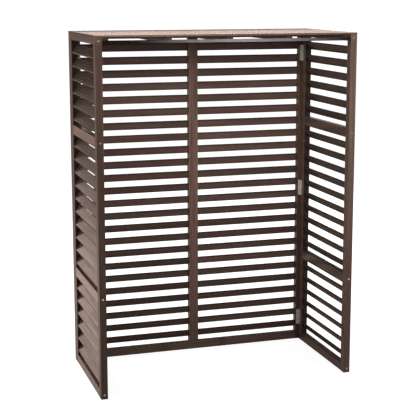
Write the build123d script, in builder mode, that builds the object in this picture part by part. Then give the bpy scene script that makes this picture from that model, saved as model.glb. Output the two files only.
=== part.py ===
"""Louvred wooden screen that hides a tall two-fan outdoor air conditioner unit.

A full-width front panel and two side panels stand on the ground round three sides of the unit, and a
boarded lid covers it. The back is open towards the house wall. Each side panel hangs on three butt
hinges inside a front corner and folds flat against the back of the front panel.

Frame: X is the width, -Y the louvred front, +Y the open back, Z up. The origin is at the bottom
centre. Left and right are those of a person who stands in front of the screen and looks along +Y.
All lengths are in millimetres.
"""

import os
from math import cos, radians, sin

from build123d import *

os.makedirs("parts", exist_ok=True)

# Overall size
width = 1090.0
depth = 540.0
height = 1450.0

# Timber frames
panel_thickness = 28.0
side_stile_width = 35.0
centre_stile_width = 42.0
bottom_rail_height = 35.0
mid_rail_height = 40.0
arris = 1.5
butt_gap = 0.5

# Louvre slats: the outer edge is the low one, so that rain runs off
slat_thickness = 6.0
slat_tilt = 57.0
slat_setback = 0.6
slat_arris = 1.5
slat_air_gap = 20.0
housing_depth = 5.0
housing_clearance = 0.15
mid_rail_row_shares = (0.25, 0.71)

# Lid
board_count = 6
board_thickness = 8.0
board_gap = 4.0
board_arris = 1.5
batten_count = 5
batten_width = 27.0
batten_thickness = 24.0
batten_clearance = 0.3
batten_cover = 3.0
tie_bar_size = 12.0
tie_bar_wall = 1.2
tie_bar_arris = 0.8
tie_bar_setback = 1.0
tie_bar_housing = 7.0
tie_bar_clearance = 0.1
lid_gap = 0.3
rim_screw_count = 3

# Butt hinges
hinge_length = 70.0
hinge_inset = 107.0
knuckle_count = 5
barrel_radius = 3.0
pin_radius = 1.5
pin_clearance = 0.05
pin_overhang = 0.6
pin_dome = 0.4
pin_offset = 3.2
leaf_width = 10.0
leaf_thickness = 1.5
leaf_corner = 2.0
knuckle_clearance = 0.4
knuckle_end_gap = 0.3
leaf_screw_count = 3
leaf_screw_end = 12.0
screw_web = 0.7

# Screws: each has a countersunk head with a cross recess
screw_clearance = 0.05
screw_recess = 0.1
frame_screw_radius = 2.1
frame_screw_head = 4.0
frame_screw_length = 75.0
leaf_screw_radius = 1.4
leaf_screw_head = 2.6
leaf_screw_length = 15.0
board_screw_radius = 1.6
board_screw_head = 3.2
board_screw_length = 28.0
rim_screw_length = 42.0
recess_width_share = 0.22
recess_span_share = 1.2
recess_depth_share = 0.45
tip_length_share = 1.6
countersink_angle = 90.0

# Levels, measured up from the ground
top_band = board_thickness + batten_thickness + batten_cover
lid_underside = height - top_band
boards_underside = height - board_thickness
battens_underside = boards_underside - batten_thickness
top_rail_height = boards_underside - lid_underside
side_panel_top = lid_underside - lid_gap
top_rail_centre = (boards_underside + lid_underside) / 2
bottom_rail_centre = bottom_rail_height / 2

# Planes of the panels, at right angles to the ground
front_face = -depth / 2
back_face = depth / 2
front_inner = front_face + panel_thickness
front_centre = front_face + panel_thickness / 2
side_outer = width / 2
side_inner = side_outer - panel_thickness
side_centre = side_outer - panel_thickness / 2
side_front_end = front_inner + butt_gap
side_rail_front = side_front_end + side_stile_width
side_rail_back = back_face - side_stile_width
side_rail_length = side_rail_back - side_rail_front

# The strip of front stile beside a side panel is wide enough for a hinge leaf and for the slat
# housings on its other side.
plate_start = barrel_radius + knuckle_clearance
leaf_screw_line = pin_offset + (plate_start + leaf_width) / 2
hinge_strip = leaf_screw_line + leaf_screw_radius + screw_web + housing_depth
front_stile_width = panel_thickness + hinge_strip
front_stile_inner = side_outer - front_stile_width
centre_stile_edge = centre_stile_width / 2

# A slat fills the thickness of its frame, and the rows share out the height between the rails.
tilt = radians(slat_tilt)
slat_reach = panel_thickness - 2 * slat_setback
slat_width = (slat_reach - slat_thickness * sin(tilt)) / cos(tilt)
slat_rise = slat_width * sin(tilt) + slat_thickness * cos(tilt)
louvre_height = lid_underside - bottom_rail_height
row_count = round((louvre_height - slat_air_gap) / (slat_rise + slat_air_gap))
row_gap = (louvre_height - row_count * slat_rise) / (row_count + 1)
row_pitch = slat_rise + row_gap
row_heights = [
    lid_underside - row_gap - slat_rise / 2 - row * row_pitch for row in range(row_count)
]
mid_rail_rows = [round(share * row_count) for share in mid_rail_row_shares]
mid_rail_centres = [row_heights[row] for row in mid_rail_rows]
side_slat_groups = {
    "upper": row_heights[: mid_rail_rows[0]],
    "middle": row_heights[mid_rail_rows[0] + 1 : mid_rail_rows[1]],
    "lower": row_heights[mid_rail_rows[1] + 1 :],
}
side_rows = [z for group in side_slat_groups.values() for z in group]

hinge_centres = {
    "lower": hinge_inset,
    "middle": height / 2,
    "upper": height - hinge_inset,
}
knuckle_pitch = hinge_length / knuckle_count
leaf_screw_spread = hinge_length / 2 - leaf_screw_end
leaf_screw_pitch = 2 * leaf_screw_spread / (leaf_screw_count - 1)
leaf_screw_rises = [n * leaf_screw_pitch - leaf_screw_spread for n in range(leaf_screw_count)]

print("slat width", round(slat_width, 2), "rows", row_count, "pitch", round(row_pitch, 2))
print("fold axis at x", round(side_inner - pin_offset, 2), "y", round(front_inner + pin_offset, 2))


def write(piece, name):
    """Label a finished piece and write it as its own STEP file."""
    piece.label = name
    export_step(piece, f"parts/{name}.step")


def timber(x_range, y_range, z_range, grain, radius=arris):
    """A planed length of timber in a box, with its edges along the grain axis rounded."""
    (x0, x1), (y0, y1), (z0, z1) = x_range, y_range, z_range
    with BuildPart() as piece:
        with BuildSketch(Plane.XY.offset(z0)):
            with Locations(((x0 + x1) / 2, (y0 + y1) / 2)):
                Rectangle(x1 - x0, y1 - y0)
        extrude(amount=z1 - z0)
        fillet(piece.edges().filter_by(grain), radius)
    return piece.part


def louvre_plane(x, y, outward):
    """An upright plane at right angles to a panel: local x points outward, local y points up."""
    return Plane(origin=(x, y, 0), x_dir=outward, z_dir=outward.cross(Vector(0, 0, 1)))


def slat_sections(rows, allowance):
    """The sections of slats at the given heights, in the open sketch, larger by an allowance."""
    with Locations(*[(0, z) for z in rows]):
        RectangleRounded(
            slat_width + 2 * allowance,
            slat_thickness + 2 * allowance,
            slat_arris + allowance,
            rotation=-slat_tilt,
        )


def screw(radius, head_radius, length, name):
    """A countersunk screw that points down, with its head's rim at the origin's level."""
    head_height = head_radius - radius
    tip_length = radius * tip_length_share
    with BuildPart() as piece:
        with BuildSketch(Plane.XZ):
            with BuildLine():
                Polyline(
                    (0, -screw_recess),
                    (head_radius - screw_recess, -screw_recess),
                    (radius, -head_height),
                    (radius, tip_length - length),
                    (0, -length),
                    close=True,
                )
            make_face()
        revolve(axis=Axis.Z)
        with BuildSketch(Plane.XY.offset(-screw_recess)):
            for angle in (0, 90):
                Rectangle(
                    head_radius * recess_span_share,
                    head_radius * recess_width_share,
                    rotation=angle,
                )
        extrude(amount=-head_height * recess_depth_share, mode=Mode.SUBTRACT)
    piece.part.label = name
    return piece.part


frame_screw = screw(frame_screw_radius, frame_screw_head, frame_screw_length, "frame_screw")
leaf_screw = screw(leaf_screw_radius, leaf_screw_head, leaf_screw_length, "leaf_screw")
board_screw = screw(board_screw_radius, board_screw_head, board_screw_length, "board_screw")
rim_screw = screw(board_screw_radius, board_screw_head, rim_screw_length, "rim_screw")


def place(x, y, z, facing):
    """A plane on a piece's face, its z axis along the direction that the face looks in."""
    return Plane(origin=(x, y, z), z_dir=facing)


def countersinks(places, radius, head_radius, through):
    """Countersunk clearance holes in the open part, for screws that enter at the given planes."""
    with Locations(*places):
        CounterSinkHole(
            radius + screw_clearance,
            head_radius + screw_clearance,
            depth=through,
            counter_sink_angle=countersink_angle,
        )


def pilot_holes(places, radius, length):
    """Plain holes in the open part, as deep as a screw that starts at the given planes."""
    with Locations(*places):
        Hole(radius + screw_clearance, depth=length + screw_clearance)


def write_fasteners(name, *kinds):
    """Write screws or pins as the separate solids of one node: each kind with its planes."""
    with BuildPart() as group:
        for shape, places in kinds:
            with Locations(*places):
                add(shape)
    write(group.part, name)


up = Vector(0, 0, 1)
down = Vector(0, 0, -1)
backward = Vector(0, 1, 0)
forward = Vector(0, -1, 0)
sides = {"left": Vector(-1, 0, 0), "right": Vector(1, 0, 0)}

# Hinge leaves, made once about the pin: local x is the way the leaf reaches, local y points at the
# timber, and local z runs along the pin.
leaf_screw_places = [
    Plane(
        origin=((plate_start + leaf_width) / 2, pin_offset - leaf_thickness, rise),
        z_dir=(0, -1, 0),
    )
    for rise in leaf_screw_rises
]


def hinge_leaf(first_knuckle):
    """A leaf with every second knuckle of the barrel, counted from first_knuckle."""
    with BuildPart() as leaf:
        with BuildSketch(Plane.XZ.offset(-pin_offset)):
            with Locations(((plate_start + leaf_width) / 2, 0)):
                Rectangle(leaf_width - plate_start, hinge_length)
        extrude(amount=leaf_thickness)
        outer_corners = leaf.edges().filter_by(Axis.Y).group_by(Axis.X)[-1]
        fillet(outer_corners, leaf_corner)
        for knuckle in range(first_knuckle, knuckle_count, 2):
            low = knuckle * knuckle_pitch - hinge_length / 2
            end_gap = knuckle_end_gap / 2
            bottom = low if knuckle == 0 else low + end_gap
            top = low + knuckle_pitch - (0 if knuckle == knuckle_count - 1 else end_gap)
            with BuildSketch(Plane.XY.offset(bottom)):
                Circle(barrel_radius)
                with Locations((plate_start / 2, pin_offset - leaf_thickness / 2)):
                    Rectangle(plate_start, leaf_thickness)
            extrude(amount=top - bottom)
        with BuildSketch(Plane.XY):
            Circle(pin_radius + pin_clearance)
        extrude(amount=hinge_length, both=True, mode=Mode.SUBTRACT)
        countersinks(leaf_screw_places, leaf_screw_radius, leaf_screw_head, leaf_thickness)
    return leaf.part


front_leaf = hinge_leaf(0)
side_leaf = hinge_leaf(1)

with BuildPart() as hinge_pin:
    with BuildSketch():
        Circle(pin_radius)
    extrude(amount=hinge_length / 2 + pin_overhang, both=True)
    chamfer(hinge_pin.edges().filter_by(GeomType.CIRCLE), pin_dome)


def leaf_frame(x, y, z, reach, timber_side):
    """The plane that stands a leaf's local axes at a hinge's pin."""
    return Plane(origin=(x, y, z), x_dir=reach, z_dir=reach.cross(timber_side))


def leaf_holes(frames):
    """The planes, in the screen's frame, where the screws of the leaves at the frames enter."""
    return [
        Plane(frame.location * screw_place.location)
        for frame in frames
        for screw_place in leaf_screw_places
    ]


front_leaf_frames = {}
side_leaf_frames = {}
for side, outward in sides.items():
    pin_x = outward.X * (side_inner - pin_offset)
    pin_y = front_inner + pin_offset
    for level, z in hinge_centres.items():
        front_leaf_frames[side, level] = leaf_frame(pin_x, pin_y, z, -outward, forward)
        side_leaf_frames[side, level] = leaf_frame(pin_x, pin_y, z, backward, outward)

# Front panel frame: the rails run between the outer stiles, and the centre stile stands between
# the rails.
centre_screw_places = [
    place(0, front_centre, 0, down),
    place(0, front_centre, boards_underside, up),
]
front_screw_places = list(centre_screw_places)
for side, outward in sides.items():
    side_places = [
        place(outward.X * side_outer, front_centre, z, outward)
        for z in (bottom_rail_centre, top_rail_centre)
    ]
    front_screw_places += side_places
    edges_x = sorted((outward.X * side_outer, outward.X * front_stile_inner))
    stile_blank = timber(edges_x, (front_face, front_inner), (0, boards_underside), Axis.Z)
    leaf_places = leaf_holes([front_leaf_frames[side, level] for level in hinge_centres])
    with BuildPart() as front_stile:
        add(stile_blank)
        with BuildSketch(louvre_plane(outward.X * front_stile_inner, front_centre, forward)):
            slat_sections(row_heights, housing_clearance)
        extrude(amount=-outward.X * housing_depth, mode=Mode.SUBTRACT)
        countersinks(side_places, frame_screw_radius, frame_screw_head, front_stile_width)
        pilot_holes(leaf_places, leaf_screw_radius, leaf_screw_length)
    write(front_stile.part, f"front_stile_{side}")

edges_x = (-centre_stile_edge, centre_stile_edge)
levels_z = (bottom_rail_height, lid_underside)
centre_blank = timber(edges_x, (front_face, front_inner), levels_z, Axis.Z)
with BuildPart() as centre_stile:
    add(centre_blank)
    for side, outward in sides.items():
        with BuildSketch(louvre_plane(outward.X * centre_stile_edge, front_centre, forward)):
            slat_sections(row_heights, housing_clearance)
        extrude(amount=outward.X * housing_depth, mode=Mode.SUBTRACT)
    pilot_holes(centre_screw_places, frame_screw_radius, frame_screw_length)
write(centre_stile.part, "front_stile_centre")

rail_levels = {"bottom": (0, bottom_rail_height), "top": (lid_underside, boards_underside)}
edges_x = (-front_stile_inner, front_stile_inner)
for level, levels_z in rail_levels.items():
    rail_blank = timber(edges_x, (front_face, front_inner), levels_z, Axis.X)
    rail_centre = sum(levels_z) / 2
    end_places = [
        place(outward.X * side_outer, front_centre, rail_centre, outward)
        for outward in sides.values()
    ]
    middle_place = centre_screw_places[0] if level == "bottom" else centre_screw_places[1]
    with BuildPart() as front_rail:
        add(rail_blank)
        rail_height = levels_z[1] - levels_z[0]
        countersinks([middle_place], frame_screw_radius, frame_screw_head, rail_height)
        pilot_holes(end_places, frame_screw_radius, frame_screw_length)
    write(front_rail.part, f"front_{level}_rail")

# Front slats, one group for each bay, with their ends in the housings of the stiles
slat_end = housing_depth - housing_clearance
bay_start = centre_stile_edge - slat_end
bay_end = front_stile_inner + slat_end
for side, outward in sides.items():
    start_x = bay_end if outward.X > 0 else -bay_start
    with BuildPart() as front_slats:
        with BuildSketch(louvre_plane(start_x, front_centre, forward)):
            slat_sections(row_heights, 0)
        extrude(amount=bay_end - bay_start)
    write(front_slats.part, f"front_slats_{side}")

write_fasteners("front_frame_screws", (frame_screw, front_screw_places))

# Side panels
side_rails = {
    "bottom_rail": (0, bottom_rail_height),
    "lower_mid_rail": (
        mid_rail_centres[1] - mid_rail_height / 2,
        mid_rail_centres[1] + mid_rail_height / 2,
    ),
    "upper_mid_rail": (
        mid_rail_centres[0] - mid_rail_height / 2,
        mid_rail_centres[0] + mid_rail_height / 2,
    ),
}
stile_spans = {
    "front_stile": (side_front_end, side_rail_front),
    "rear_stile": (side_rail_back, back_face),
}
slat_length = side_rail_length + 2 * slat_end
for side, outward in sides.items():
    faces_x = sorted((outward.X * side_inner, outward.X * side_outer))
    centre_x = outward.X * side_centre
    rail_centres = [sum(levels) / 2 for levels in side_rails.values()]
    front_places = [place(centre_x, side_front_end, z, forward) for z in rail_centres]
    back_places = [place(centre_x, back_face, z, backward) for z in rail_centres]
    leaf_places = leaf_holes([side_leaf_frames[side, level] for level in hinge_centres])
    for stile, span_y in stile_spans.items():
        stile_blank = timber(faces_x, span_y, (0, side_panel_top), Axis.Z)
        at_front = stile == "front_stile"
        housing_face = span_y[1] if at_front else span_y[0]
        into_stile = forward if at_front else backward
        with BuildPart() as side_stile:
            add(stile_blank)
            with BuildSketch(louvre_plane(centre_x, housing_face, outward)):
                slat_sections(side_rows, housing_clearance)
            depth_sign = outward.cross(up).dot(into_stile)
            extrude(amount=depth_sign * housing_depth, mode=Mode.SUBTRACT)
            screw_places = front_places if at_front else back_places
            countersinks(screw_places, frame_screw_radius, frame_screw_head, side_stile_width)
            if at_front:
                pilot_holes(leaf_places, leaf_screw_radius, leaf_screw_length)
        write(side_stile.part, f"{side}_{stile}")
    for rail, levels_z in side_rails.items():
        rail_centre = sum(levels_z) / 2
        rail_blank = timber(faces_x, (side_rail_front, side_rail_back), levels_z, Axis.Y)
        rail_places = [
            place(centre_x, side_front_end, rail_centre, forward),
            place(centre_x, back_face, rail_centre, backward),
        ]
        with BuildPart() as side_rail:
            add(rail_blank)
            pilot_holes(rail_places, frame_screw_radius, frame_screw_length)
        write(side_rail.part, f"{side}_{rail}")
    start_y = side_rail_back + slat_end if outward.X > 0 else side_rail_front - slat_end
    for group, rows in side_slat_groups.items():
        with BuildPart() as side_slats:
            with BuildSketch(louvre_plane(centre_x, start_y, outward)):
                slat_sections(rows, 0)
            extrude(amount=slat_length)
        write(side_slats.part, f"{side}_slats_{group}")
    write_fasteners(f"{side}_frame_screws", (frame_screw, front_places + back_places))
    write_fasteners(f"{side}_side_leaf_screws", (leaf_screw, leaf_places))

# Hinges: the front panel carries one leaf and the pin of each, the side panel the other leaf
for (side, level), frame in front_leaf_frames.items():
    with BuildPart() as placed_leaf:
        with Locations(frame):
            add(front_leaf)
    write(placed_leaf.part, f"{side}_{level}_hinge_front_leaf")
for (side, level), frame in side_leaf_frames.items():
    with BuildPart() as placed_leaf:
        with Locations(frame):
            add(side_leaf)
    write(placed_leaf.part, f"{side}_{level}_hinge_side_leaf")
write_fasteners("hinge_pins", (hinge_pin.part, list(front_leaf_frames.values())))
write_fasteners("front_leaf_screws", (leaf_screw, leaf_holes(front_leaf_frames.values())))

# Lid: boards across the width, battens under them, a rim with corner blocks over the side panels,
# and a tie bar across the battens' rear ends
board_width = (depth - (board_count - 1) * board_gap) / board_count
board_pitch = board_width + board_gap
board_starts = [front_face + n * board_pitch for n in range(board_count)]
board_centres = [start + board_width / 2 for start in board_starts]
gap_centres = [start - board_gap / 2 for start in board_starts[1:]]
batten_side = side_inner - batten_clearance
batten_pitch = (2 * batten_side - batten_width) / (batten_count - 1)
batten_starts = [n * batten_pitch - batten_side for n in range(batten_count)]
batten_centres = [start + batten_width / 2 for start in batten_starts]
tie_bar_back = back_face - tie_bar_setback
tie_bar_front = tie_bar_back - tie_bar_size
tie_bar_middle = (tie_bar_back - tie_bar_size / 2, battens_underside + tie_bar_size / 2)
board_screw_places = [
    place(x, y, battens_underside, down) for x in batten_centres for y in board_centres
]
rim_screw_gaps = [
    round(n * (len(gap_centres) - 1) / (rim_screw_count - 1)) for n in range(rim_screw_count)
]
rim_screw_places = {
    side: [
        place(
            outward.X * (batten_side - batten_width),
            y,
            (boards_underside + battens_underside) / 2,
            -outward,
        )
        for y in [gap_centres[n] for n in rim_screw_gaps]
    ]
    for side, outward in sides.items()
}
block_screw_places = {
    side: place(outward.X * side_centre, back_face, top_rail_centre, backward)
    for side, outward in sides.items()
}

for number, start in enumerate(board_starts, 1):
    span_y = (start, start + board_width)
    board_blank = timber(
        (-side_outer, side_outer), span_y, (boards_underside, height), Axis.X, board_arris
    )
    own_places = [p for p in board_screw_places if span_y[0] < p.origin.Y < span_y[1]]
    with BuildPart() as board:
        add(board_blank)
        pilot_holes(own_places, board_screw_radius, board_screw_length)
    write(board.part, f"lid_board_{number}")

for number, start in enumerate(batten_starts, 1):
    span_x = (start, start + batten_width)
    batten_blank = timber(
        span_x, (side_front_end, tie_bar_front), (battens_underside, boards_underside), Axis.Y
    )
    own_places = [p for p in board_screw_places if span_x[0] < p.origin.X < span_x[1]]
    side_places = []
    if number == 1:
        side_places = rim_screw_places["left"]
    if number == batten_count:
        side_places = rim_screw_places["right"]
    with BuildPart() as batten:
        add(batten_blank)
        countersinks(own_places, board_screw_radius, board_screw_head, batten_thickness)
        if side_places:
            countersinks(side_places, board_screw_radius, board_screw_head, batten_width)
    write(batten.part, f"lid_batten_{number}")

for side, outward in sides.items():
    faces_x = sorted((outward.X * side_inner, outward.X * side_outer))
    levels_z = (lid_underside, boards_underside)
    rim_blank = timber(faces_x, (side_front_end, side_rail_back), levels_z, Axis.Y)
    with BuildPart() as rim:
        add(rim_blank)
        pilot_holes(rim_screw_places[side], board_screw_radius, rim_screw_length)
        pilot_holes([block_screw_places[side]], frame_screw_radius, frame_screw_length)
    write(rim.part, f"lid_rim_{side}")

    block_blank = timber(faces_x, (side_rail_back, back_face), levels_z, Axis.Z)
    socket = tie_bar_size + 2 * tie_bar_clearance
    with BuildPart() as block:
        add(block_blank)
        with BuildSketch(Plane.YZ.offset(outward.X * side_inner)):
            with Locations(tie_bar_middle):
                RectangleRounded(socket, socket, tie_bar_arris + tie_bar_clearance)
        extrude(
            amount=outward.X * (tie_bar_housing + tie_bar_clearance), mode=Mode.SUBTRACT
        )
        countersinks(
            [block_screw_places[side]], frame_screw_radius, frame_screw_head, side_stile_width
        )
    write(block.part, f"lid_corner_block_{side}")

with BuildPart() as tie_bar:
    with BuildSketch(Plane.YZ):
        with Locations(tie_bar_middle):
            RectangleRounded(tie_bar_size, tie_bar_size, tie_bar_arris)
            inside = tie_bar_size - 2 * tie_bar_wall
            Rectangle(inside, inside, mode=Mode.SUBTRACT)
    extrude(amount=side_inner + tie_bar_housing, both=True)
write(tie_bar.part, "lid_tie_bar")

rim_places = rim_screw_places["left"] + rim_screw_places["right"]
write_fasteners("lid_batten_screws", (board_screw, board_screw_places), (rim_screw, rim_places))
write_fasteners("lid_corner_screws", (frame_screw, list(block_screw_places.values())))
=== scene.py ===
# %% [markdown]
# # A louvred timber screen, dressed for its photograph
#
# The screen stands round a tall outdoor air conditioner: a louvred front, two louvred sides that fold in
# on butt hinges, and a boarded lid. It is softwood, planed, stained dark brown and put together with
# countersunk screws. The frame that is loaded here already holds every stick at its real size, so this
# lesson is about surfaces: sawn and planed timber that is never quite straight, a stain that took
# differently on each stick, satin steel, and a soft white studio. All lengths are in metres.

import math

import bpy
import numpy as np
from mathutils import Euler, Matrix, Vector


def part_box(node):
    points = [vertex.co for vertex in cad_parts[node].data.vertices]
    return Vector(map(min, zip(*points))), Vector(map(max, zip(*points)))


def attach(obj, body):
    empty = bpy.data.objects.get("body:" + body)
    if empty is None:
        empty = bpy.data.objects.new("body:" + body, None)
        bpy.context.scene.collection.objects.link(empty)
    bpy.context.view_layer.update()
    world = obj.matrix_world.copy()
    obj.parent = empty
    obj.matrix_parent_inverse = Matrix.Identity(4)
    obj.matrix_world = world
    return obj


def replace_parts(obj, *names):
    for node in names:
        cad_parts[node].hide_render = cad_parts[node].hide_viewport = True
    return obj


MM_PER_METRE = 1000

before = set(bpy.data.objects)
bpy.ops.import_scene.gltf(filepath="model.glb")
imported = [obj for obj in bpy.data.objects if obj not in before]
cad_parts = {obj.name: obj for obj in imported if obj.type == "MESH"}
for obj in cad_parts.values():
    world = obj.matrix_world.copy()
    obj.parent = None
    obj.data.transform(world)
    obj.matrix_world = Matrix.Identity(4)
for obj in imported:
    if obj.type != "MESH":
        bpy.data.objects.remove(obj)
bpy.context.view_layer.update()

# %% [markdown]
# ## A small language for shaders
#
# A timber finish is mostly arithmetic on the place of a point: how far along the grain it is, how far
# from the pith of the tree. Nodes linked one by one hide such a formula. So one class stands for a
# socket and turns Python's operators into Math nodes, and one method adds every other kind of node.

# %% Sockets that can be added and multiplied
class Socket:
    """An output of a node. Operators on it add Math nodes to the same material."""

    def __init__(self, graph, output):
        self.graph = graph
        self.output = output

    def math(self, operation, *values):
        inputs = dict(enumerate(values))
        return self.graph.node("ShaderNodeMath", {"operation": operation}, inputs)

    def __add__(self, other):
        return self.math("ADD", self, other)

    def __sub__(self, other):
        return self.math("SUBTRACT", self, other)

    def __rsub__(self, other):
        return self.math("SUBTRACT", other, self)

    def __mul__(self, other):
        return self.math("MULTIPLY", self, other)

    def __truediv__(self, other):
        return self.math("DIVIDE", self, other)

    __radd__ = __add__
    __rmul__ = __mul__

    def distance(self):
        """How far the value is from zero."""
        return self.math("ABSOLUTE", self)

    def root(self):
        return self.math("SQRT", self)

    def remainder(self):
        """What the value has above the next lower whole number."""
        return self.math("FRACT", self)

    def larger(self, other):
        return self.math("MAXIMUM", self, other)

    def rise(self, low, high):
        """0 below low, 1 above high, and a smooth step between them."""
        inputs = {"Value": self, "From Min": low, "From Max": high}
        settings = {"interpolation_type": "SMOOTHSTEP"}
        return self.graph.node("ShaderNodeMapRange", settings, inputs)


# %% One method for every node
class Graph:
    """The node tree of one material or of the world."""

    def __init__(self, owner):
        owner.use_nodes = True
        self.tree = owner.node_tree
        self.tree.nodes.clear()

    def node(self, kind, settings=None, inputs=None, output=0):
        """Adds a node: its settings first, then the values or links of its sockets."""
        made = self.tree.nodes.new(kind)
        for key, value in (settings or {}).items():
            if key == "stops":
                ramp = made.color_ramp.elements
                ramp[0].position, ramp[0].color = value[0]
                ramp[1].position, ramp[1].color = value[-1]
                for position, shade in value[1:-1]:
                    ramp.new(position).color = shade
            else:
                setattr(made, key, value)
        for key, value in (inputs or {}).items():
            target = made.inputs[key]
            if isinstance(value, Socket):
                self.tree.links.new(value.output, target)
            else:
                target.default_value = value
        return Socket(self, made.outputs[output]) if made.outputs else None

    def mix(self, factor, first, second, blend="MIX"):
        """A colour between first and second. Inputs 0, 6 and 7 are the factor and the two colours."""
        settings = {"data_type": "RGBA", "blend_type": blend}
        return self.node("ShaderNodeMix", settings, {0: factor, 6: first, 7: second}, output=2)

    def noise(self, place, scale, detail, roughness):
        inputs = {"Vector": place, "Scale": scale, "Detail": detail, "Roughness": roughness}
        return self.node("ShaderNodeTexNoise", None, inputs)

    def vector(self, x, y, z):
        return self.node("ShaderNodeCombineXYZ", None, {0: x, 1: y, 2: z})

    def parts(self, vector):
        """The x, y and z of a vector."""
        return [self.node("ShaderNodeSeparateXYZ", None, {0: vector}, output=n) for n in range(3)]

    def place(self):
        """The three Object coordinates of the shaded point, in metres."""
        return self.parts(self.node("ShaderNodeTexCoord", output="Object"))

    def facing(self):
        """The x, y and z of the direction that the surface faces: 1 or -1 where it faces an axis."""
        return self.parts(self.node("ShaderNodeTexCoord", output="Normal"))

    def stored(self, name):
        """A number that the mesh holds on each of its points."""
        return self.node("ShaderNodeAttribute", {"attribute_name": name}, output="Fac")

    def ray(self, kind):
        """1 for a ray of this kind, such as Camera or Glossy, and 0 for all others."""
        return self.node("ShaderNodeLightPath", output=f"Is {kind} Ray")

    def finish(self, surface):
        self.node("ShaderNodeOutputMaterial", None, {"Surface": surface})


def colour(red, green, blue):
    """A colour read off a screen, 0 to 255 a channel, as the linear values that nodes take. The
    formula is the one of the sRGB standard: a power above a dark limit and a straight line below it."""
    linear = [((v / 255 + 0.055) / 1.055) ** 2.4 if v > 10 else v / 255 / 12.92 for v in (red, green, blue)]
    return (*linear, 1.0)


print("mid brown is", [round(v, 3) for v in colour(80, 64, 55)])

# %% [markdown]
# ## Noise along the grain
#
# Seen close, planed timber is the same few patterns at different sizes, all stretched along the grain:
# fibres a third of a millimetre wide, darker lines a few millimetres wide, streaks of a few
# centimetres, and blotches. Each is one noise texture whose place is scaled far less along the stick
# than across it. Image textures would repeat and would show where a stick was cut, so everything here
# is a formula on Object coordinates, and the pattern goes through a stick from face to face.

# %% Layers of noise
AXES = "XYZ"
# A layer's scale along the grain and across it, its detail and its roughness
GRAIN_LAYERS = {
    "sway": (1.1, 5.0, 2.0, 0.5),
    "fibre": (9.0, 900.0, 3.0, 0.6),
    "streak": (1.6, 34.0, 3.0, 0.55),
    "lines": (3.0, 190.0, 2.0, 0.6),
    "blotch": (5.0, 11.0, 2.0, 0.5),
    "pores": (60.0, 1500.0, 1.0, 0.5),
    "warmth": (0.7, 4.0, 1.0, 0.5),
    "scuff": (30.0, 60.0, 3.0, 0.5),
}


def grain_noise(graph, place, layer):
    """One layer of noise at a place, which is the way along the grain and the two ways across it."""
    along, across, detail, roughness = GRAIN_LAYERS[layer]
    start, first, second = place
    stretched = graph.vector(start * along, first * across, second * across)
    return graph.noise(stretched, 1.0, detail, roughness)


def weighed(weights, layers):
    """The sum of some layers, each times its weight."""
    return sum(layers[layer] * weight for layer, weight in weights.items())


print("layers of grain", len(GRAIN_LAYERS))

# %% [markdown]
# ## Growth rings
#
# Rings are cylinders round the pith of the tree. A stick is sawn some centimetres away from the pith,
# so its ends show arcs, and because the pith drifts along its length, its faces show long pointed
# arches. Arches drawn on each face would not meet the arcs on the ends. The remainder of the distance
# from the pith, divided by the width of a ring, gives both at once. Each stick has its own seed, which
# moves its pith.

# %% Latewood
RING_WIDTH = 0.0032
PITH_DISTANCE = 0.055
PITH_DRIFT = (0.010, 0.022)
SWAY_ACROSS = (0.016, 0.010)
SWAY_RINGS = 1.5
PITH_SPREAD = 0.03
SPREAD_FACTORS = (7.31, 3.17)
LATEWOOD_START, LATEWOOD_END = 0.35, 0.95


def latewood_bands(chance, along, across, middle, sway, shift=None):
    """The dark part of each growth ring. The pith lies PITH_DISTANCE from the middle of the stick at
    some angle and drifts with the way along it, and sway bends the rings. Latewood rises through a
    ring and ends at once. Where one mesh holds many sticks, shift is each stick's own number, and the
    remainders of its products spread their piths."""
    angle = chance.uniform(0, 2 * math.pi)
    drift = chance.uniform(*PITH_DRIFT) * chance.choice((-1, 1))
    pith = (middle[0] + PITH_DISTANCE * math.cos(angle), middle[1] + PITH_DISTANCE * math.sin(angle))
    a = across[0] - pith[0] + along * drift + (sway - 0.5) * SWAY_ACROSS[0]
    b = across[1] - pith[1] + (sway - 0.5) * SWAY_ACROSS[1]
    if shift is not None:
        a = a + (shift * SPREAD_FACTORS[0]).remainder() * PITH_SPREAD
        b = b + (shift * SPREAD_FACTORS[1]).remainder() * PITH_SPREAD
    rings = ((a * a + b * b).root() / RING_WIDTH + sway * SWAY_RINGS).remainder()
    return rings.rise(LATEWOOD_START, LATEWOOD_END) * (1 - rings.rise(LATEWOOD_END, 1.0))


print("rings are", RING_WIDTH * MM_PER_METRE, "mm wide")

# %% [markdown]
# ## Stain
#
# A stain soaks in unevenly. Latewood shows darker through it, streaks and blotches come from how it
# was brushed, and some sticks turn out reddish and others olive. One colour for all of them would look
# like plastic. So all layers are added up to one level, which a ramp turns into a colour from the dark
# shade over the middle one to the light one. Each stick has its own tone, which moves it along the
# ramp. The arrises, which hands and packing rub, are a shade lighter.

# %% The colour of the stain
STAIN_STOPS = (0.16, 0.5, 0.86)
STAIN_WEIGHTS = {"streak": 0.55, "lines": 0.3, "fibre": 0.28, "blotch": 0.25, "latewood": -0.16}
STAIN_OFFSET = -0.19
TONE_REACH = 0.3
RED_TINT, OLIVE_TINT = colour(255, 226, 228), colour(242, 243, 228)
TINT_RISE = (0.2, 0.8)
TINT_SHARE = 0.85
PORE_SHARE = 0.35


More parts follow.
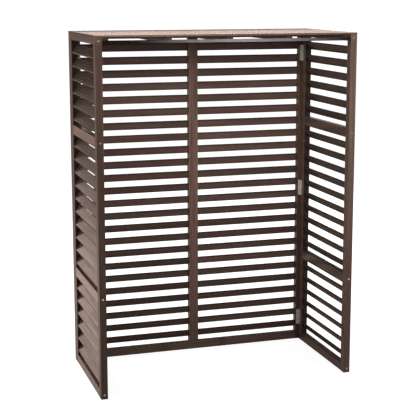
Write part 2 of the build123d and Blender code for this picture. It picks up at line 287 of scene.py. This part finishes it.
def stain_colour(graph, shades, layers, tone, hue):
    """The stain at a level that is the weighed sum of the layers plus the stick's tone. hue goes from
    olive to red, and pores are filled with the dark shade."""
    level = weighed(STAIN_WEIGHTS, layers) + STAIN_OFFSET + (tone - 0.5) * TONE_REACH
    stops = list(zip(STAIN_STOPS, shades))
    stain = graph.node("ShaderNodeValToRGB", {"stops": stops}, {"Fac": level})
    tint = graph.mix(hue.rise(*TINT_RISE), OLIVE_TINT, RED_TINT)
    stain = graph.mix(TINT_SHARE, stain, tint, "MULTIPLY")
    return graph.mix(layers["pores"] * PORE_SHARE, stain, shades[0])


# %% Worn arrises and dark patches
ARRIS_WEAR = (0.0004, 0.0026)
SCUFF_RISE = (0.35, 0.75)
PATCH_FADE = (0.7, 1.2)


def worn_arrises(across, spans, scuff):
    """How worn a point is. A point on a face is near an arris when it is near the next face as well.
    spans are the low and high ends of the stick on its two ways across, and scuff breaks the line."""
    near = []
    for value, (low, high) in zip(across, spans):
        half = (high - low) / 2
        near.append(half - (value - (low + half)).distance())
    return (1 - near[0].larger(near[1]).rise(*ARRIS_WEAR)) * scuff.rise(*SCUFF_RISE)


def patch_mask(along, distance, half_width):
    """1 inside two patches that lie at a distance from the middle, one on each side of it."""
    inner, outer = (half_width * share for share in PATCH_FADE)
    return 1 - (along.distance() - distance).distance().rise(inner, outer)


print("arrises are worn over", ARRIS_WEAR[1] * MM_PER_METRE, "mm")

# %% [markdown]
# ## The whole finish
#
# Three more things make a stained and lacquered stick. The open grain of its ends drinks more stain
# and stays matt. The face of a stile where slats enter it is darkened almost to black and left without
# lacquer, painted shade for the shade between the slats, and thin slats get painted shade along their
# long edges. And the lacquer is sprayed from above, so it shines on what faces up and hardly at all on
# undersides, and fine lines of grain show through it. Which way a face looks tells most of these places
# apart, so the Normal coordinate finds them, and no mask has to be painted.

# %% The timber finish
SHIFT_REACH = 40
PLAIN_TONES = (0.25, 0.75)
PORE_PEAKS = (0.62, 0.72)
HUE_FACTOR, HUE_REACH = 5.7, 0.4
PATCH_SHARE = 0.5
EDGE_SHADE_SHARE, EDGE_SHADE_STREAK = 0.55, 0.4
WEAR_SHARE = 0.45
FACING_RISE = (0.6, 0.9)
END_SHARE = 0.55
HOUSING_SHADE_SHARE, HOUSING_SHADE_STREAK = 0.93, 0.2
RELIEF_WEIGHTS = {"fibre": 0.5, "lines": 0.8, "streak": 0.25, "latewood": -0.35, "pores": -0.5}
RELIEF_DEPTH = 0.0003
PLANED_RELIEF = 0.35
FIBRE_SHINE, BLOTCH_SHINE, END_SHINE, LATEWOOD_SHINE = 0.16, 0.12, 0.2, 0.04
SPRAY_RISE = (-0.35, 0.35)
UNDERSIDE_SHARE = 0.15
LINES_LACQUER = 2.0
COAT_ROUGHNESS = 0.16
# Painted shade: the near-black colour of a stile's face towards its slats
PAINTED_HOUSING_SHADE = colour(16, 11, 9)
# Painted shade: the dark colour along the long edges of slats
PAINTED_EDGE_SHADE = colour(20, 14, 12)


def timber(
    name, grain, shades, seed, gloss, lacquer, relief=PLANED_RELIEF, box=None, tone=None, edge=None,
    shaded_side=0, patches=None
):
    """A material for sticks whose grain runs along an axis. shades are the dark, middle and light stain.
    With a box, its long edges are worn. Without one, the mesh's own "tone" and "shift" attributes
    tell its sticks apart. edge is where, on the way to a long edge as the attribute "across" gives it,
    painted shade begins and ends to darken the stain. shaded_side is 1 or -1 where the slats enter the
    stick from +Y or -Y, and that face gets painted shade almost to black. patches are the distance of two
    darker places from the middle, and half their width."""
    chance = np.random.default_rng(seed)
    material = bpy.data.materials.new(name)
    graph = Graph(material)
    dark, light = shades[0], shades[-1]
    point, facing = graph.place(), graph.facing()
    axis = AXES.index(grain)
    sides = [side for side in range(3) if side != axis]
    along, across = point[axis], [point[side] for side in sides]
    if box is None:
        shift, tone = graph.stored("shift"), graph.stored("tone")
        middle = (0.0, 0.0)
    else:
        shift = chance.uniform(0, SHIFT_REACH)
        tone = chance.uniform(*PLAIN_TONES) if tone is None else tone
        spans = [(box[0][side], box[1][side]) for side in sides]
        middle = [(low + high) / 2 for low, high in spans]

    place = (along + shift, *across)
    sway, fibre, streak, lines, blotch, warmth = (
        grain_noise(graph, place, layer) for layer in ("sway", "fibre", "streak", "lines", "blotch", "warmth")
    )
    pores = grain_noise(graph, place, "pores").rise(*PORE_PEAKS)
    latewood = latewood_bands(chance, along, across, middle, sway, shift if box is None else None)
    layers = {
        "fibre": fibre,
        "streak": streak,
        "lines": lines,
        "blotch": blotch,
        "pores": pores,
        "latewood": latewood,
    }

    hue = ((tone * HUE_FACTOR).remainder() - 0.5) * HUE_REACH + warmth if box is None else warmth
    stain = stain_colour(graph, shades, layers, tone, hue)
    if patches:
        stain = graph.mix(patch_mask(along, *patches) * PATCH_SHARE, stain, dark)
    # Painted shade: slats darken towards their long edges
    if edge:
        narrow = graph.stored("across").distance().rise(*edge)
        stain = graph.mix(narrow * (EDGE_SHADE_SHARE + streak * EDGE_SHADE_STREAK), stain, PAINTED_EDGE_SHADE)
    if box is not None:
        worn = worn_arrises(across, spans, grain_noise(graph, place, "scuff"))
        stain = graph.mix(worn * WEAR_SHARE, stain, light)
    end = facing[axis].distance().rise(*FACING_RISE)
    stain = graph.mix(end * END_SHARE, stain, dark)
    housing_shade = 0.0
    # Painted shade: the face of a stile towards its slats is darkened almost to black and its lacquer left
    # off
    if shaded_side:
        housing_shade = (facing[1] * shaded_side).rise(*FACING_RISE)
        covered = housing_shade * (HOUSING_SHADE_SHARE + (streak - 0.5) * HOUSING_SHADE_STREAK)
        stain = graph.mix(covered, stain, PAINTED_HOUSING_SHADE)

    height = weighed(RELIEF_WEIGHTS, layers)
    bump = graph.node(
        "ShaderNodeBump", None, {"Strength": relief, "Distance": RELIEF_DEPTH, "Height": height}
    )
    shine = gloss + (fibre - 0.5) * FIBRE_SHINE + (blotch - 0.5) * BLOTCH_SHINE
    shine = shine + end * END_SHINE - latewood * LATEWOOD_SHINE
    sprayed = facing[2].rise(*SPRAY_RISE) * (lacquer * (1 - UNDERSIDE_SHARE)) + lacquer * UNDERSIDE_SHARE
    coat = sprayed * (lines * LINES_LACQUER) * (1 - housing_shade) * (1 - end)
    surface = graph.node(
        "ShaderNodeBsdfPrincipled",
        None,
        {
            "Base Color": stain,
            "Roughness": shine,
            "Normal": bump,
            "Coat Weight": coat,
            "Coat Roughness": COAT_ROUGHNESS,
        },
    )
    graph.finish(surface)
    return material


# %% Shades of the stain
FRAME_STAIN = (colour(44, 32, 28), colour(74, 58, 52), colour(101, 83, 75))
SLAT_STAIN = (colour(38, 29, 26), colour(62, 49, 45), colour(85, 69, 64))
BOARD_STAIN = (colour(50, 37, 33), colour(80, 63, 56), colour(108, 90, 81))
# Painted highlight: a lighter, greyer stain standing in for the glare on two rails' outer faces
GLARE_GREY_STAIN = (colour(46, 37, 34), colour(76, 65, 60), colour(103, 92, 87))
for title, stains in (("frame", FRAME_STAIN), ("slats", SLAT_STAIN), ("boards", BOARD_STAIN)):
    print("middle stain of the", title, [round(v, 3) for v in stains[1][:3]])

# %% [markdown]
# ## Sticks that are not quite straight
#
# A louvre slat is a thin stick, and no two lie alike: each bows and twists by a fraction of a
# millimetre, and its edges are eased by hand. A box with a Bevel modifier would have eased edges, but
# would lie dead straight. One function makes any such stick as a surface of two parameters. One goes
# round a section with rounded corners, the other along the length, and bow and twist are sines that
# vanish at the ends, so the ends stay in their housings.

# %% Surfaces from two parameters
CORNER_STEPS = 4
CORNER_HOLD = 0.3
CUP_STEPS = 8
STICK_STEPS = 16


def rounded_section(width, thickness, radius, flat_steps=1):
    """Points round a rectangle with rounded corners: each corner is a quarter circle about a centre
    that is one radius in from both sides. A point on the flat at each end of the circle, a share of
    the radius further on, keeps the flats flat under smooth shading. flat_steps divides the wide flats."""
    quarter = np.linspace(0, math.pi / 2, CORNER_STEPS + 1)
    centres = [(1, 1), (-1, 1), (-1, -1), (1, -1)]
    corners = []
    for turn, (sx, sy) in enumerate(centres):
        angles = quarter + turn * math.pi / 2
        circle = radius * np.stack((np.cos(angles), np.sin(angles)), axis=1)
        tangent = CORNER_HOLD * radius * np.stack((-np.sin(angles), np.cos(angles)), axis=1)
        rounded = np.concatenate((circle[:1] - tangent[:1], circle, circle[-1:] + tangent[-1:]))
        corners.append(rounded + (sx * (width / 2 - radius), sy * (thickness / 2 - radius)))
    upper, lower = (
        np.linspace(corners[n][-1], corners[n + 1][0], flat_steps + 1)[1:-1] for n in (0, 2)
    )
    return np.concatenate((corners[0], upper, corners[1], corners[2], lower, corners[3]))


def stick(length, width, thickness, radius, chance, bow=0.0, twist=0.0, cup=0.0, steps=STICK_STEPS):
    """A stick along local z: section(u) turned by twist * sin(pi v) and moved by bow * sin(pi v) at
    the place v of its length, with the wide faces hollowed by cup * (1 - x * x) about their middle."""
    section = rounded_section(width, thickness, radius, CUP_STEPS if cup else 1)
    v = np.linspace(0, 1, steps + 1)[:, None]
    swell = np.sin(np.pi * v)
    turn = twist * chance.uniform(-1, 1) * swell
    x = section[None, :, 0] * np.cos(turn) - section[None, :, 1] * np.sin(turn)
    y = section[None, :, 0] * np.sin(turn) + section[None, :, 1] * np.cos(turn)
    x = x + bow * chance.uniform(-1, 1) * swell
    y = y + bow * chance.uniform(-1, 1) * swell - cup * (1 - (2 * section[None, :, 0] / width) ** 2) * swell
    z = np.broadcast_to((v - 0.5) * length, x.shape)
    return np.stack((x, y, z), axis=2)


def turned(grid, x_axis, y_axis, centre):
    """The grid with its local x, y and z along x_axis, y_axis and their cross product."""
    x_axis, y_axis = np.array(x_axis, float), np.array(y_axis, float)
    axes = np.stack((x_axis, y_axis, np.cross(x_axis, y_axis)))
    return grid @ axes + np.array(centre)


# %% A mesh from many sticks
SHARP_ANGLE = math.radians(50)


def sticks_object(name, grids, tones, shifts, across=None):
    """One mesh of many sticks. Quads join neighbours on each grid, and one polygon closes each end.
    tone and shift are the same on all points of a stick. across, where given, goes from -1 to 1 over
    the width of the section that all the sticks share."""
    points, faces, stored = [], [], {"tone": [], "shift": []}
    if across is not None:
        stored["across"] = []
    base = 0
    for grid, tone, shift in zip(grids, tones, shifts):
        rows, count = grid.shape[:2]
        index = base + np.arange(rows * count).reshape(rows, count)
        following = np.roll(index, -1, axis=1)
        quads = np.stack((index[:-1], following[:-1], following[1:], index[1:]), axis=2)
        faces += quads.reshape(-1, 4).tolist()
        faces += [index[0, ::-1].tolist(), index[-1].tolist()]
        points.append(grid.reshape(-1, 3))
        stored["tone"].append(np.full(rows * count, tone))
        stored["shift"].append(np.full(rows * count, shift))
        if across is not None:
            stored["across"].append(np.tile(across, rows))
        base += rows * count
    mesh = bpy.data.meshes.new(name)
    mesh.from_pydata(np.concatenate(points).tolist(), [], faces)
    for key, values in stored.items():
        layer = mesh.attributes.new(key, "FLOAT", "POINT")
        layer.data.foreach_set("value", np.concatenate(values).astype(np.float32))
    mesh.shade_smooth()
    mesh.set_sharp_from_angle(angle=SHARP_ANGLE)
    made = bpy.data.objects.new(name, mesh)
    bpy.context.scene.collection.objects.link(made)
    return made


# %% [markdown]
# ## Louvre slats
#
# The slats stand at 57 degrees with the outer edge low, so rain runs off and the unit breathes. Each bay
# is one group of slats. The size of a slat is worked out backwards from its group's box: a rounded
# section of a known thickness and tilt has a reach and a rise that follow from its width. In the
# photograph the front's and the left panel's slats, seen from inside, have thin dark edges in the shade
# between them, and the right panel's have none. So the first two get painted shade along their long
# edges, and the right panel's stay plain.

# %% One bay of slats
SLAT_TILT = math.radians(57)
SLAT_THICKNESS = 0.006
SLAT_ARRIS = 0.0015
SLAT_BOW = 0.00035
SLAT_TWIST = math.radians(0.9)


def slat_size(reach):
    """The width of a slat that reaches so far outwards, and its rise. The section's core is a rectangle
    that is one arris smaller all round: reach = 2 * (flat * cos + core * sin + arris), and the rise is
    the same with sine and cosine changed over."""
    core = SLAT_THICKNESS / 2 - SLAT_ARRIS
    flat = (reach / 2 - SLAT_ARRIS - core * math.sin(SLAT_TILT)) / math.cos(SLAT_TILT)
    rise = 2 * (flat * math.sin(SLAT_TILT) + core * math.cos(SLAT_TILT) + SLAT_ARRIS)
    return 2 * (flat + SLAT_ARRIS), rise


def slat_grids(node, rows, chance):
    """The slats of one bay, evenly spaced down its box, and their width."""
    low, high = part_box(node)
    in_front = node.startswith("front")
    size, centre = high - low, (low + high) / 2
    width, rise = slat_size(size.y if in_front else size.x)
    length = size.x if in_front else size.y
    pitch = (size.z - rise) / (rows - 1)
    # The outer edge is the low one: the front's is towards -Y, a side's away from the middle
    outward = Vector((0, -1, 0)) if in_front else Vector((math.copysign(1, low.x), 0, 0))
    upward = Vector((0, 0, 1))
    down_slope = outward * math.cos(SLAT_TILT) - upward * math.sin(SLAT_TILT)
    face = outward * math.sin(SLAT_TILT) + upward * math.cos(SLAT_TILT)
    grids = [
        turned(
            stick(length, width, SLAT_THICKNESS, SLAT_ARRIS, chance, SLAT_BOW, SLAT_TWIST),
            down_slope,
            face,
            (centre.x, centre.y, high.z - rise / 2 - row * pitch),
        )
        for row in range(rows)
    ]
    print(node, "width", round(width * MM_PER_METRE, 2), "mm, pitch", round(pitch * MM_PER_METRE, 2), "mm")
    return grids, width


# %% Slats for every bay
SLAT_GLOSS, SLAT_LACQUER = 0.55, 0.85
# Where, towards a slat's long edge, painted shade begins and ends
SLAT_EDGE_SHADE = (0.66, 0.88)
SLAT_TONES = (0.25, 0.75)
BAY_TONES = {"front_slats_left": 0.32, "front_slats_right": 0.0, "left": -0.1, "right": -0.25}
SLAT_SEED = 100
SLAT_ROWS = {"front_slats_left": 24, "front_slats_right": 24}
for side in ("left", "right"):
    SLAT_ROWS |= {f"{side}_slats_upper": 6, f"{side}_slats_middle": 10, f"{side}_slats_lower": 6}

for number, (node, rows) in enumerate(SLAT_ROWS.items()):
    side = node.split("_")[0]
    chance = np.random.default_rng(SLAT_SEED + number)
    grids, width = slat_grids(node, rows, chance)
    tones = chance.uniform(*SLAT_TONES, rows) + BAY_TONES[node if side == "front" else side]
    shifts = chance.uniform(0, SHIFT_REACH, rows)
    across = rounded_section(width, SLAT_THICKNESS, SLAT_ARRIS)[:, 0] * 2 / width
    slats = sticks_object(f"{node}_planed", grids, tones, shifts, across)
    finish = timber(
        f"stained {node}",
        "X" if side == "front" else "Y",
        SLAT_STAIN,
        seed=number,
        gloss=SLAT_GLOSS,
        lacquer=SLAT_LACQUER,
        # The front and left slats get painted shade along their long edges, the right panel's none
        edge=None if side == "right" else SLAT_EDGE_SHADE,
    )
    slats.data.materials.append(finish)
    body = f"{side}_panel"
    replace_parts(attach(slats, body), node)

# %% [markdown]
# ## Lid boards
#
# The six boards are the part of the screen that is seen from a window above. Thin wide boards cup a
# little as they dry, away from the heart side, so each is hollowed by a fraction of a millimetre and
# takes its own tone. A flat box would catch the light in one even sheet. The first board, over the
# front, has hardly any lacquer left, so the glare on the lid ends before it.

# %% Six boards
BOARD_ARRIS = 0.0015
BOARD_CUP = 0.0002
BOARD_INSET = 0.0003
BOARD_STEPS = 40
BOARD_TONES = (0.1, 0.9)
BOARD_GLOSS = 0.4
BOARD_LACQUERS = (0.05, 0.58, 0.82, 0.9, 0.86, 1.0)
BOARD_RELIEF = 0.15
BOARD_SEED, BOARD_GRAIN_SEED = 300, 40
board_nodes = sorted(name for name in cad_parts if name.startswith("lid_board_") and name[-1].isdigit())
for number, node in enumerate(board_nodes):
    low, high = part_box(node)
    size = high - low
    chance = np.random.default_rng(BOARD_SEED + number)
    thickness = size.z - BOARD_INSET
    grid = stick(size.x, size.y, thickness, BOARD_ARRIS, chance, cup=BOARD_CUP, steps=BOARD_STEPS)
    grid = turned(grid, (0, 1, 0), (0, 0, 1), (low + high) / 2)
    tone, shift = chance.uniform(*BOARD_TONES), chance.uniform(0, SHIFT_REACH)
    board = sticks_object(f"{node}_planed", [grid], [tone], [shift])
    finish = timber(
        f"stained {node}",
        "X",
        BOARD_STAIN,
        seed=BOARD_GRAIN_SEED + number,
        gloss=BOARD_GLOSS,
        lacquer=BOARD_LACQUERS[number],
        relief=BOARD_RELIEF,
    )
    board.data.materials.append(finish)
    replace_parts(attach(board, "lid"), node)
    print(node, "tone", round(tone, 2), "lacquer", BOARD_LACQUERS[number])

# %% [markdown]
# ## Stiles, rails, battens and rims
#
# These sticks carry countersinks, pilot holes and slat housings, so the frame's own solids stay and only
# get the finish. The grain runs along the longest side of each stick's box. Frames are put together
# from whatever sticks are at hand, so the photograph shows dark stiles beside light ones, and each is a
# number here. Three rails of the right panel get higher tones, two of them a greyer stain: painted
# highlight for the glare on their outer faces. The battens get a very dark tone, painted shade for the
# shade under the lid, and the rail at the foot of the front gets two faint darker patches.

# %% Tones of the frame's sticks
STICK_TONES = {
    "right_rear_stile": -0.35,
    "left_rear_stile": 0.88,
    "left_front_stile": 0.75,
    "right_front_stile": -0.9,
    "front_stile_left": -0.5,
    "front_stile_right": -0.7,
    "front_stile_centre": 0.45,
    # Painted highlight: the right panel's three rails are lighter for the glare on their outer faces
    "right_upper_mid_rail": 1.25,
    "right_lower_mid_rail": 1.7,
    "right_bottom_rail": 1.2,
    "left_upper_mid_rail": 0.25,
    "left_lower_mid_rail": 0.15,
    "lid_rim_right": -0.2,
    "lid_corner_block_right": 0.1,
    "lid_corner_block_left": 0.9,
}
# Painted shade: the battens under the lid get a very dark tone for the shade there
BATTEN_SHADE_TONE = -0.7
STICK_LACQUERS = {
    "right_upper_mid_rail": 1.0,
    "right_lower_mid_rail": 1.7,
    "right_bottom_rail": 1.1,
    "lid_rim_right": 0.3,
}
FRAME_GLOSS, FRAME_LACQUER = 0.42, 0.7
# Rails whose grey stain is painted highlight for glare
GLARE_GREY_STICKS = ("right_lower_mid_rail", "right_bottom_rail")
# Which face of a side stile looks to its slats and gets painted shade
HOUSING_SHADE_SIDES = {"front_stile": 1, "rear_stile": -1}
RAIL_PATCHES = (0.14, 0.018)
print("sticks with a tone of their own", len(STICK_TONES))

# %% Frame members
MEMBER_WORDS = ("stile", "rail", "batten_", "rim", "corner_block")
MEMBER_GRAIN_SEED = 60
members = [
    name
    for name in sorted(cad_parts)
    if any(word in name for word in MEMBER_WORDS) and "screws" not in name
]
for number, node in enumerate(members):
    low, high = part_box(node)
    size = high - low
    grain = "Z" if "corner_block" in node else AXES[max(range(3), key=lambda axis: size[axis])]
    finish = timber(
        f"stained {node}",
        grain,
        GLARE_GREY_STAIN if node in GLARE_GREY_STICKS else FRAME_STAIN,
        seed=MEMBER_GRAIN_SEED + number,
        gloss=FRAME_GLOSS,
        lacquer=STICK_LACQUERS.get(node, FRAME_LACQUER),
        box=(low, high),
        tone=BATTEN_SHADE_TONE if "batten" in node else STICK_TONES.get(node),
        shaded_side=next((sign for ending, sign in HOUSING_SHADE_SIDES.items() if node.endswith(ending)), 0),
        patches=RAIL_PATCHES if node == "front_bottom_rail" else None,
    )
    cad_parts[node].data.materials.clear()
    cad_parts[node].data.materials.append(finish)
print("frame members", len(members))

# %% [markdown]
# ## Steel
#
# The hinges are pressed from stainless sheet and brushed along their length, the screws are zinc plated,
# and the tie bar is a coated square tube. Brushing is noise stretched along the barrel, which changes
# the roughness far more than the colour. The screws went in before the last coat of stain, which covers
# the heads high up. The tie bar's colour falls to near black towards both ends, which is painted shade,
# and its bright middle is a painted reflection. All three are one function with different numbers, as
# their spots and their brushing differ only in size.

# %% Metal and coated metal
SPOT_SCALE, SPOT_DETAIL, SPOT_ROUGHNESS = 55.0, 4.0, 0.6
SPOT_RISE = (0.45, 0.75)
SPOT_SHARE, BRUSH_SHARE = 0.5, 0.25
SPOT_DULLING = 0.12
BRUSH_DETAIL, BRUSH_ROUGHNESS = 3.0, 0.6
# Painted shade on the tie bar: where its dark ends begin, how ragged that line is, and how much rougher they
# are
END_SHADE_MIDDLE, END_SHADE_BREAK = -0.07, 0.06
END_SHADE_DULLING = 0.2
COVER_SHARE, COVER_BREAK = 0.6, 0.3
METAL_RELIEF, METAL_RELIEF_DEPTH = 0.2, 0.0002
BARE_SPECULAR, PAINT_SPECULAR = 0.5, 0.25


def metal(name, base, stretch, metallic, roughness, wear, dull, shaded_ends=None, stained=None):
    """Metal or coated metal. stretch gives the noise scale on each axis, wear how much the roughness
    varies, and dull the colour of its spots. shaded_ends is for a bar along X: between its two distances
    from the middle the bright metal of the middle, a painted reflection, turns into the given dark colour,
    painted shade at the ends. stained is for screws: between its two heights the timber's stain begins
    to cover them."""
    material = bpy.data.materials.new(name)
    graph = Graph(material)
    x, y, z = graph.place()
    stretched = graph.vector(*(value * scale for value, scale in zip((x, y, z), stretch)))
    brushed = graph.noise(stretched, 1.0, BRUSH_DETAIL, BRUSH_ROUGHNESS)
    spots = graph.noise(graph.vector(x, y, z), SPOT_SCALE, SPOT_DETAIL, SPOT_ROUGHNESS).rise(*SPOT_RISE)
    tinted = graph.mix(spots * SPOT_SHARE, base, dull)
    tinted = graph.mix(brushed * BRUSH_SHARE, tinted, dull)
    rough = roughness + (brushed - 0.5) * wear + spots * SPOT_DULLING
    # Painted shade and reflection: the bar's colour darkens towards both ends and stays bright in the middle
    if shaded_ends:
        inner, outer, paint = shaded_ends
        reach = (x - END_SHADE_MIDDLE).distance() + (brushed - 0.5) * END_SHADE_BREAK
        painted = reach.rise(inner, outer)
        tinted = graph.mix(painted, tinted, paint)
        metallic = (1 - painted) * metallic
        rough = rough + painted * END_SHADE_DULLING
    if stained:
        lowest, highest, stain = stained
        covered = z.rise(lowest, highest) * (COVER_SHARE + brushed * COVER_BREAK)
        tinted = graph.mix(covered, tinted, stain)
    bump = graph.node(
        "ShaderNodeBump", None, {"Strength": METAL_RELIEF, "Distance": METAL_RELIEF_DEPTH, "Height": brushed}
    )
    surface = graph.node(
        "ShaderNodeBsdfPrincipled",
        None,
        {
            "Base Color": tinted,
            "Metallic": metallic,
            "Roughness": rough,
            "Specular IOR Level": PAINT_SPECULAR if shaded_ends else BARE_SPECULAR,
            "Normal": bump,
        },
    )
    graph.finish(surface)
    return material


# %% Three metals on their pieces
hinge_steel = metal(
    "brushed hinge steel",
    colour(184, 181, 177),
    stretch=(1400, 1400, 22),
    metallic=0.55,
    roughness=0.36,
    wear=0.3,
    dull=colour(138, 132, 125),
)
zinc = metal(
    "zinc plate",
    colour(224, 220, 212),
    stretch=(500, 500, 500),
    metallic=0.5,
    roughness=0.42,
    wear=0.25,
    dull=colour(150, 142, 130),
    stained=(0.45, 1.1, colour(84, 66, 58)),
)
# The tie bar turns near black towards its ends, painted shade, with a bright middle as a painted reflection
bar_coat = metal(
    "tie bar coat",
    colour(115, 106, 110),
    stretch=(14, 700, 700),
    metallic=0.4,
    roughness=0.34,
    wear=0.14,
    dull=colour(72, 64, 66),
    shaded_ends=(-0.05, 0.48, colour(12, 8, 7)),
)
for node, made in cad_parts.items():
    if node in members or node in SLAT_ROWS or node in board_nodes:
        continue
    finish = bar_coat if node == "lid_tie_bar" else zinc if "screws" in node else hinge_steel
    made.data.materials.clear()
    made.data.materials.append(finish)
    print(node, finish.name)

# %% [markdown]
# ## Studio
#
# The photograph is a cut-out on white. A pale floor runs to the horizon and the world behind it is
# white to the camera, while the light on the object itself stays at a plain level. Reflections see
# something else: a low bright band, a little warm, just above the horizon, a dark ceiling and a warmer
# floor. That is what puts the glare on the lid, which is seen at a flat angle, and on the lower slats.

# %% Floor
FLOOR_HALF = 60.0
FLOOR_LIFT = 0.85
FLOOR_SHEEN = 0.12
FLOOR_GREY = (0.45, 0.45, 0.45, 1.0)
FLOOR_MIRRORED = (0.45, 0.33, 0.26, 1.0)
WARM = (1.0, 0.78, 0.68, 1.0)
WHITE = (1.0, 1.0, 1.0, 1.0)
floor_mesh = bpy.data.meshes.new("floor")
corners = [(sx * FLOOR_HALF, sy * FLOOR_HALF, 0) for sx, sy in ((-1, -1), (1, -1), (1, 1), (-1, 1))]
floor_mesh.from_pydata(corners, [], [(0, 1, 2, 3)])
floor = bpy.data.objects.new("floor", floor_mesh)
bpy.context.scene.collection.objects.link(floor)
paper = bpy.data.materials.new("pale floor")
graph = Graph(paper)
seen, mirrored = graph.ray("Camera"), graph.ray("Glossy")
matt = graph.node("ShaderNodeBsdfDiffuse", None, {"Color": graph.mix(mirrored, FLOOR_GREY, FLOOR_MIRRORED)})
lift = graph.node(
    "ShaderNodeEmission",
    None,
    {"Color": graph.mix(mirrored, WHITE, WARM), "Strength": seen * FLOOR_LIFT + mirrored * FLOOR_SHEEN},
)
graph.finish(graph.node("ShaderNodeAddShader", None, {0: matt, 1: lift}))
floor_mesh.materials.append(paper)
print("floor is", 2 * FLOOR_HALF, "m wide")

# %% World
WORLD_LEVEL = 0.5
WINDOW_LEVEL = 2.25
WINDOW_SILL = (0.024, 0.036)
WINDOW_HEAD = (0.05, 0.12)
CEILING_LEVEL = 0.02
world = bpy.data.worlds.new("studio")
bpy.context.scene.world = world
graph = Graph(world)
seen, mirrored, through = (graph.ray(kind) for kind in ("Camera", "Glossy", "Transmission"))
height = graph.parts(graph.node("ShaderNodeTexCoord", output="Generated"))[2]
window = height.rise(*WINDOW_SILL) * (1 - height.rise(*WINDOW_HEAD))
reflected = window * WINDOW_LEVEL + CEILING_LEVEL
white = seen.larger(through)
plain = (1 - white.larger(mirrored)) * WORLD_LEVEL
strength = white + mirrored * (1 - white) * reflected + plain
sky = graph.node(
    "ShaderNodeBackground", None, {"Color": graph.mix(mirrored, WHITE, WARM), "Strength": strength}
)
graph.node("ShaderNodeOutputWorld", None, {"Surface": sky})
print("the bright band ends", round(math.degrees(math.asin(WINDOW_HEAD[1])), 1), "degrees up")

# %% [markdown]
# ## Soft boxes
#
# Three soft boxes light the screen. The key hangs behind the open back and is kept narrow, so that it
# falls on the lid and the upper part only and the feet stay dark, as in the photograph. A side box
# lights the outside of the panel on the picture's left, and a wide front box shines in through the
# louvres. One big lamp could not keep the feet dark. None of the three is seen by the camera or in
# reflections.

# %% Three soft boxes
LAMPS = {
    "key soft box": {
        "place": (0.35, 3.4, 2.3),
        "aim": (0, 0, 1.48),
        "size": (1.2, 1.6),
        "energy": 22.5,
        "spread": 38,
    },
    "side soft box": {
        "place": (4.6, -1.2, 0.9),
        "aim": (0, 0, 0.7),
        "size": (1.6, 1.6),
        "energy": 74,
        "spread": 100,
    },
    "front soft box": {
        "place": (-2.2, -4.4, 2.6),
        "aim": (0, 0, 0.7),
        "size": (3.0, 3.0),
        "energy": 75,
        "spread": 120,
    },
}
for name, numbers in LAMPS.items():
    lamp = bpy.data.lights.new(name, "AREA")
    lamp.shape = "RECTANGLE"
    lamp.size, lamp.size_y = numbers["size"]
    lamp.energy = numbers["energy"]
    lamp.spread = math.radians(numbers["spread"])
    soft_box = bpy.data.objects.new(name, lamp)
    soft_box.location = numbers["place"]
    aim = Vector(numbers["aim"]) - soft_box.location
    soft_box.rotation_euler = aim.to_track_quat("-Z", "Y").to_euler()
    soft_box.visible_camera = False
    soft_box.visible_glossy = False
    bpy.context.scene.collection.objects.link(soft_box)
    print(name, numbers["energy"], "W from", round(aim.length, 2), "m")
bpy.context.scene.view_settings.view_transform = "Standard"

# %% [markdown]
# ## Camera
#
# The photograph was taken level and cropped, which keeps uprights parallel. A lens shift that large
# would push the object out of every other view, so the camera tilts down instead and keeps only a
# small shift. Its place, turn and focal length are the ones that bring the corners of the screen
# nearest to where the photograph has them.

# %% Camera from the photograph's corners
IMAGE_SIDE = 420
FOCAL_PIXELS = 1108.9
SENSOR = 0.036
CAMERA_SHIFT = -0.04
CAMERA_PLACE = (1.424, 4.436, 1.609)
CAMERA_TURN, CAMERA_DIP = 0.3106, 0.1788
camera_data = bpy.data.cameras.new("camera")
camera_data.sensor_width = SENSOR * MM_PER_METRE
camera_data.lens = FOCAL_PIXELS / IMAGE_SIDE * SENSOR * MM_PER_METRE
camera_data.shift_y = CAMERA_SHIFT
camera = bpy.data.objects.new("camera", camera_data)
camera.location = CAMERA_PLACE
camera.rotation_euler = Euler((math.pi / 2 - CAMERA_DIP, 0, math.pi - CAMERA_TURN))
bpy.context.scene.collection.objects.link(camera)
bpy.context.scene.camera = camera
print("lens", round(camera_data.lens, 2), "mm")
